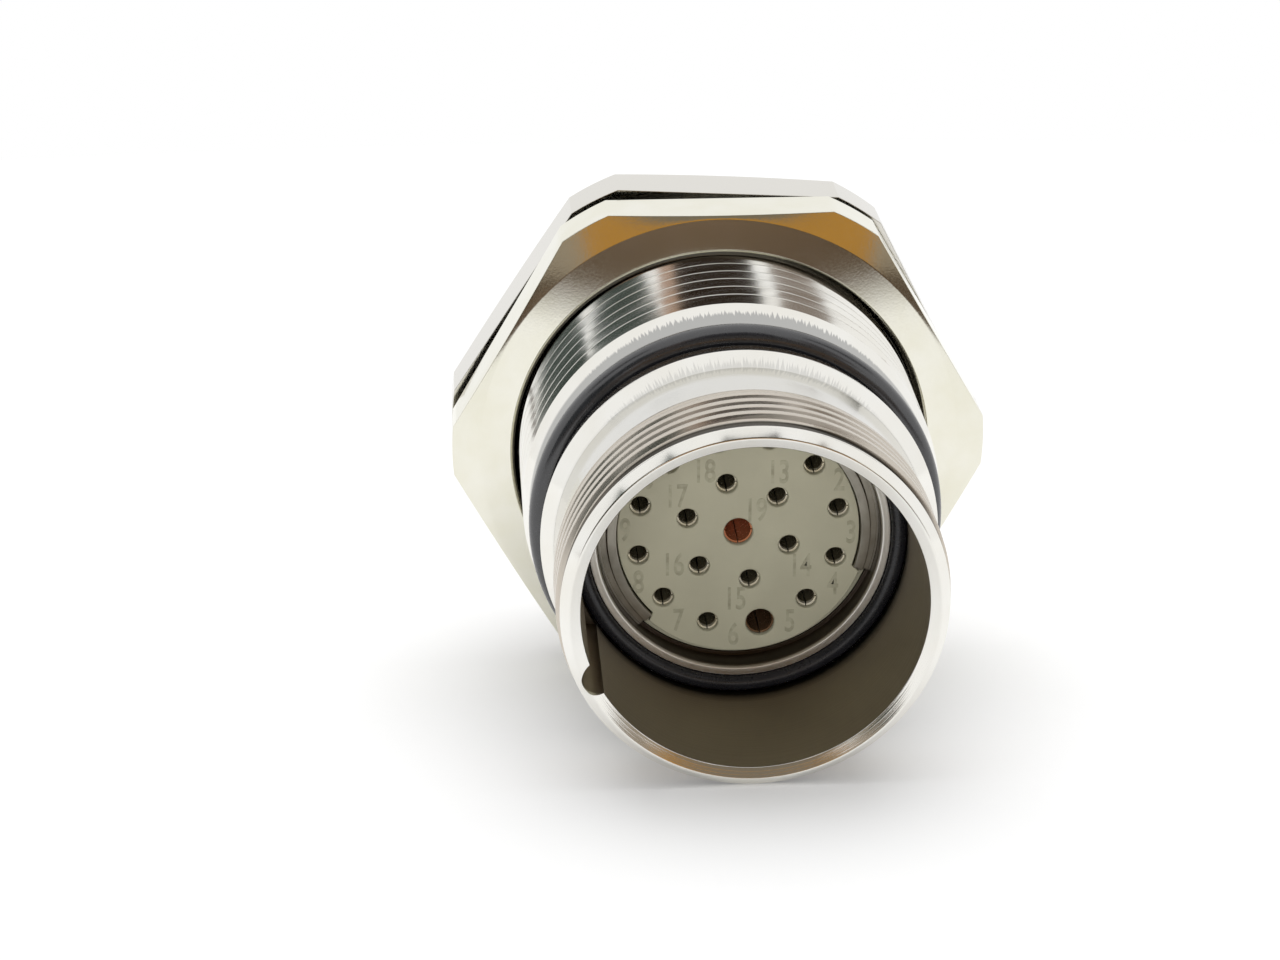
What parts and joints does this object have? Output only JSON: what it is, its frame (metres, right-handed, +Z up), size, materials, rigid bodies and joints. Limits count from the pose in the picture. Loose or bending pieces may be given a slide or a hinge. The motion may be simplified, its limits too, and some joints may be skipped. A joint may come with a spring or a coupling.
{
  "type": "panel mount circular connector",
  "caption": "Round panel-mount receptacle with a threaded coupling end, a hexagonal flange and nut that clamp a panel, and an insulating insert that carries socket contacts.",
  "frame": {"origin": "on the shell's axis, in the flange face that the panel clamps against", "axes": "the shell's axis lies along Y with the mating face towards -Y; +Z is up, with a flat of the nut on top"},
  "size_m": [0.0346, 0.045, 0.0322],
  "materials": {
    "shell_nickel": "bright nickel plate",
    "nut_nickel": "satin nickel plate",
    "ring_nickel": "bright nickel plate",
    "seal_rubber": "smooth moulded rubber",
    "gasket_rubber": "matt flat rubber",
    "insert_plastic": "beige moulded plastic",
    "contact_gold": "gold plate"
  },
  "bodies": {
    "receptacle": {"shell": "shell_nickel", "panel_gasket": "gasket_rubber", "coupling_seal": "seal_rubber", "face_seal": "seal_rubber", "insert_front": "insert_plastic", "insert_rear": "insert_plastic", "retaining_ring": "ring_nickel", "contact_01": "contact_gold", "contact_02": "contact_gold", "contact_03": "contact_gold", "contact_04": "contact_gold", "contact_05": "contact_gold", "contact_06": "contact_gold", "contact_07": "contact_gold", "contact_08": "contact_gold", "contact_09": "contact_gold", "contact_10": "contact_gold", "contact_11": "contact_gold", "contact_12": "contact_gold", "contact_13": "contact_gold", "contact_14": "contact_gold", "contact_15": "contact_gold", "contact_16": "contact_gold", "contact_17": "contact_gold", "contact_18": "contact_gold", "contact_19": "contact_gold"},
    "nut": {"panel_nut": "nut_nickel"}
  },
  "joints": [
    {"name": "nut_travel", "type": "slide", "parent": "receptacle", "child": "nut", "axis": [0, -1, 0], "range_m": [0, 0.008]}
  ]
}
